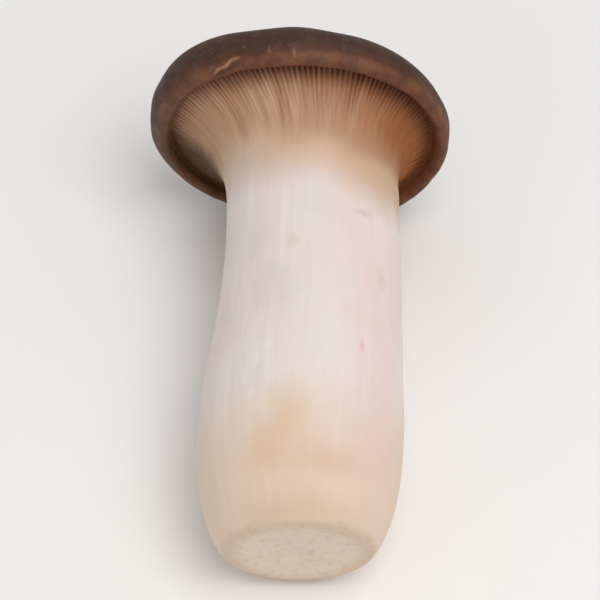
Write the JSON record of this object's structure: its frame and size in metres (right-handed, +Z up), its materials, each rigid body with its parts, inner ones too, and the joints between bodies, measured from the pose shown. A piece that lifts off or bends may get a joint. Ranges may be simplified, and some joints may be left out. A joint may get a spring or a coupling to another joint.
{
  "type": "king oyster mushroom",
  "caption": "Stout pale mushroom lying on its side, with a trimmed stem, a thick domed brown cap and gills running down onto the stem; cooking ingredient.",
  "frame": {"origin": "on the table, under the middle of the box round the mushroom", "axes": "+Z up from the table the mushroom lies on, +Y along the stem from the trimmed end to the cap, +X to the right as seen from the trimmed end"},
  "size_m": [0.0778, 0.1358, 0.0763],
  "materials": {
    "flesh": "natural matte: near-white fibrous stem, tan gills and grey-brown skin on the cap"
  },
  "bodies": {
    "root": {"mushroom": "flesh"}
  },
  "joints": []
}
